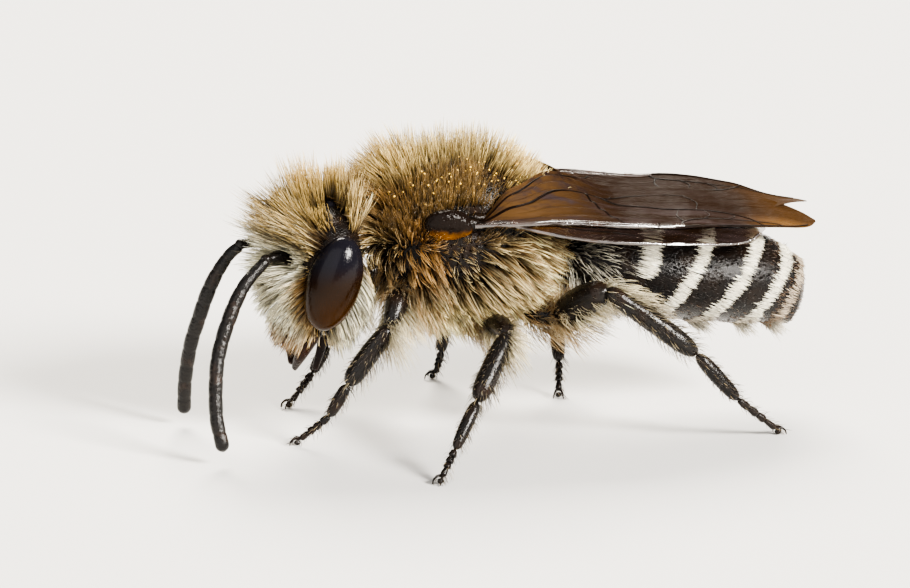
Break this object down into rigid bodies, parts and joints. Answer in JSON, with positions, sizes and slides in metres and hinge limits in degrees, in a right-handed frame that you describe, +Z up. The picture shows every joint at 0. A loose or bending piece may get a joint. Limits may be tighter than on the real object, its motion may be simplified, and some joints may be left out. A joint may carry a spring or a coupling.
{
  "type": "plasterer bee, male, standing",
  "caption": "Life-size still model of a male plasterer bee standing with wings folded, furry head and thorax and pale-banded abdomen.",
  "frame": {"origin": "on the floor under the middle of the bee's bounding box", "axes": "+Z up, the head faces -X, the bee's left side is -Y"},
  "size_m": [0.0106, 0.0062, 0.0048],
  "materials": {
    "fur": "long buff and cream hair, browner at the roots",
    "shell": "black glossy chitin with short pale hairs",
    "eye": "smooth dark brown compound eye, polished",
    "feeler": "black, finely downy, faint shine",
    "mouth": "dark red-brown chitin",
    "wing": "smoky brown clear membrane with dark veins"
  },
  "bodies": {
    "root": {"abdomen_1": "shell", "abdomen_2": "shell", "abdomen_3": "shell", "abdomen_4": "shell", "abdomen_5": "shell", "abdomen_6": "shell", "antenna_scape_left": "feeler", "antenna_scape_right": "feeler", "antenna_whip_lower_left": "feeler", "antenna_whip_lower_right": "feeler", "antenna_whip_upper_left": "feeler", "antenna_whip_upper_right": "feeler", "eye_left": "eye", "eye_right": "eye", "forewing_left": "wing", "forewing_right": "wing", "front_femur_left": "shell", "front_femur_right": "shell", "front_tarsus_left": "shell", "front_tarsus_right": "shell", "front_tibia_left": "shell", "front_tibia_right": "shell", "head": "fur", "hind_femur_left": "shell", "hind_femur_right": "shell", "hind_tarsus_left": "shell", "hind_tarsus_right": "shell", "hind_tibia_left": "shell", "hind_tibia_right": "shell", "hindwing_left": "wing", "hindwing_right": "wing", "mandible_left": "mouth", "mandible_right": "mouth", "middle_femur_left": "shell", "middle_femur_right": "shell", "middle_tarsus_left": "shell", "middle_tarsus_right": "shell", "middle_tibia_left": "shell", "middle_tibia_right": "shell", "tegula_left": "shell", "tegula_right": "shell", "thorax": "fur", "tongue": "mouth"}
  },
  "joints": []
}
